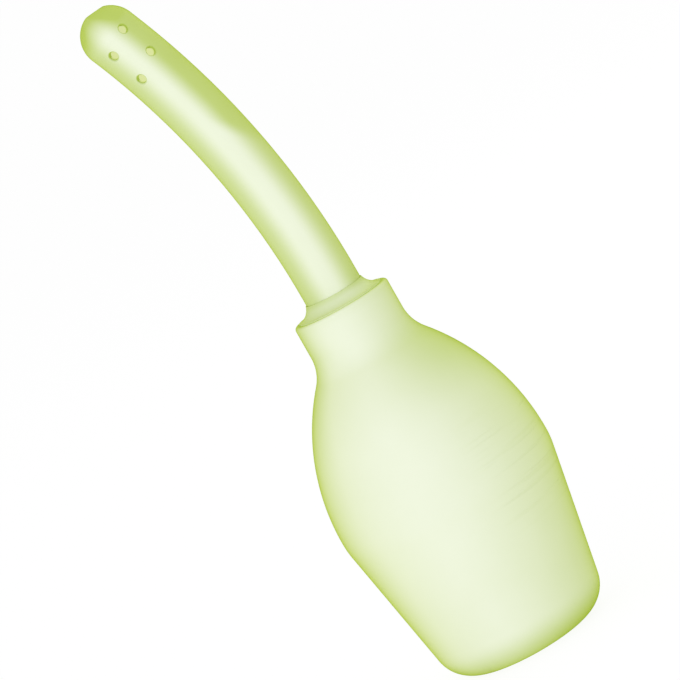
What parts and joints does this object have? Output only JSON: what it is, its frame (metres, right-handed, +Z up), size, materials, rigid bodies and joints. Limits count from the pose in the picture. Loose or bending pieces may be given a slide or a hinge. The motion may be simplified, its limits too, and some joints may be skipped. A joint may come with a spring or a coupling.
{
  "type": "anal douche",
  "caption": "Soft squeeze bulb with a flat base, a push-in neck stopper with a flared foot and a curved, round-tipped nozzle with rinsing holes.",
  "frame": {"origin": "centre of the bulb's flat base, which is the bottom centre of the whole object's box", "axes": "+Z runs up the bulb's axis to the neck and the nozzle; the nozzle bends in the XZ plane towards -X; the picture looks along +Y"},
  "size_m": [0.0766, 0.0766, 0.2502],
  "materials": {
    "soft_bulb": "satin",
    "stopper": "satin",
    "nozzle": "satin"
  },
  "bodies": {
    "bulb": {"bulb": "soft_bulb"},
    "stopper": {"neck_stopper": "stopper"},
    "nozzle": {"nozzle": "nozzle"}
  },
  "joints": [
    {"name": "stopper_pull", "type": "slide", "parent": "bulb", "child": "stopper", "axis": [0, 0, 1], "range_m": [0, 0.04]},
    {"name": "nozzle_swivel", "type": "hinge", "parent": "stopper", "child": "nozzle", "pos_m": [0, 0, 0.125], "axis": [0, 0, 1], "continuous": true}
  ]
}
